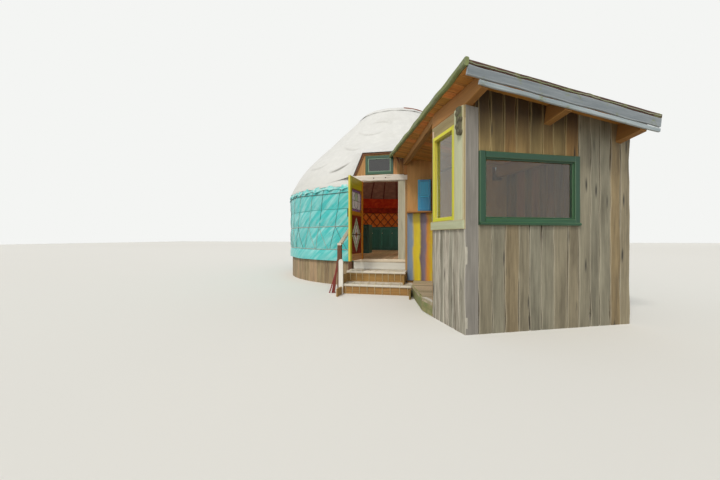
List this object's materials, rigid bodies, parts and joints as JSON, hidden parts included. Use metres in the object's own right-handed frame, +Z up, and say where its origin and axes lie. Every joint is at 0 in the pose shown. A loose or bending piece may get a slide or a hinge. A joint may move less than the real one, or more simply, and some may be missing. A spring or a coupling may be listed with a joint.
{
  "type": "yurt with boarded porch cabin",
  "caption": "Round canvas yurt on a low platform, with an open framed door, short steps and a leaning boarded porch cabin at its right.",
  "frame": {"origin": "middle of the round floor at ground level", "axes": "+Z up, the door faces -Y, +X to the right of someone who faces the door"},
  "size_m": [6.9537, 9.9515, 4.8663],
  "materials": {
    "floor_wood": "worn boards",
    "skirt_wood": "weathered boards",
    "lath_wood": "oiled laths",
    "canvas_teal": "matt canvas",
    "rope": "twisted rope",
    "band_cloth": "woven band",
    "canvas_white": "matt canvas",
    "pole_red": "stained poles",
    "pale_wood": "planed timber",
    "yellow_paint": "gloss paint on timber",
    "red_paint": "satin paint on timber",
    "glass": "clear",
    "iron": "forged, black",
    "green_paint": "gloss paint on timber",
    "step_wood": "worn boards",
    "grey_boards": "weathered boards",
    "chip_board": "boarded wall",
    "cream_paint": "satin paint on timber",
    "carved_wood": "weathered carving",
    "brown_boards": "oiled boards",
    "moss_roof": "mossy roofing felt",
    "grey_blue_boards": "weathered boards",
    "panel_paint": "painted board",
    "blue_paint": "gloss paint on timber",
    "counter_paint": "satin paint on board"
  },
  "bodies": {
    "house": {"platform_floor": "floor_wood", "platform_piers": "skirt_wood", "platform_skirt_left": "skirt_wood", "platform_skirt_back": "skirt_wood", "platform_skirt_right": "skirt_wood", "lattice_left_front": "lath_wood", "lattice_left_back": "lath_wood", "lattice_back": "lath_wood", "lattice_right_back": "lath_wood", "lattice_right_front": "lath_wood", "wall_cover_left": "canvas_teal", "wall_cover_back_left": "canvas_teal", "wall_cover_back_right": "canvas_teal", "wall_cover_right": "canvas_teal", "wall_ropes": "rope", "inner_band": "band_cloth", "roof_cover_front": "canvas_white", "roof_cover_left": "canvas_white", "roof_cover_back": "canvas_white", "roof_cover_right": "canvas_white", "roof_poles_left": "pole_red", "roof_poles_right": "pole_red", "crown_ring": "lath_wood", "crown_cap": "canvas_white", "door_jambs": "pale_wood", "door_lintel": "pale_wood", "door_threshold": "pale_wood", "door_pintles": "iron", "dormer_front": "pale_wood", "dormer_window": "green_paint", "dormer_glass": "glass", "dormer_hood": "canvas_white", "step_lower": "step_wood", "landing": "step_wood", "stair_posts": "step_wood", "stair_handrail": "pale_wood", "porch_floor": "floor_wood", "cabin_wall_front": "grey_boards", "cabin_wall_left": "grey_boards", "cabin_wall_right": "grey_boards", "cabin_wall_back": "chip_board", "green_window": "green_paint", "green_window_glass": "glass", "yellow_window": "yellow_paint", "yellow_window_glass": "glass", "corner_trim": "cream_paint", "carved_bracket": "carved_wood", "roof_purlins": "brown_boards", "roof_boards": "brown_boards", "roof_covering": "moss_roof", "verge_boards": "grey_blue_boards", "roof_side_board": "moss_roof", "painted_panel": "panel_paint", "wall_cupboard": "blue_paint", "inner_counter": "counter_paint"},
    "door": {"door_leaf": "yellow_paint", "door_lower_panel": "red_paint", "door_panes": "glass", "door_straps": "iron"}
  },
  "joints": [
    {"name": "door_hinge", "type": "hinge", "parent": "house", "child": "door", "pos_m": [-0.4065, -3.264, 0.627], "axis": [0, 0, 1], "range_deg": [-5, 96.5]}
  ]
}
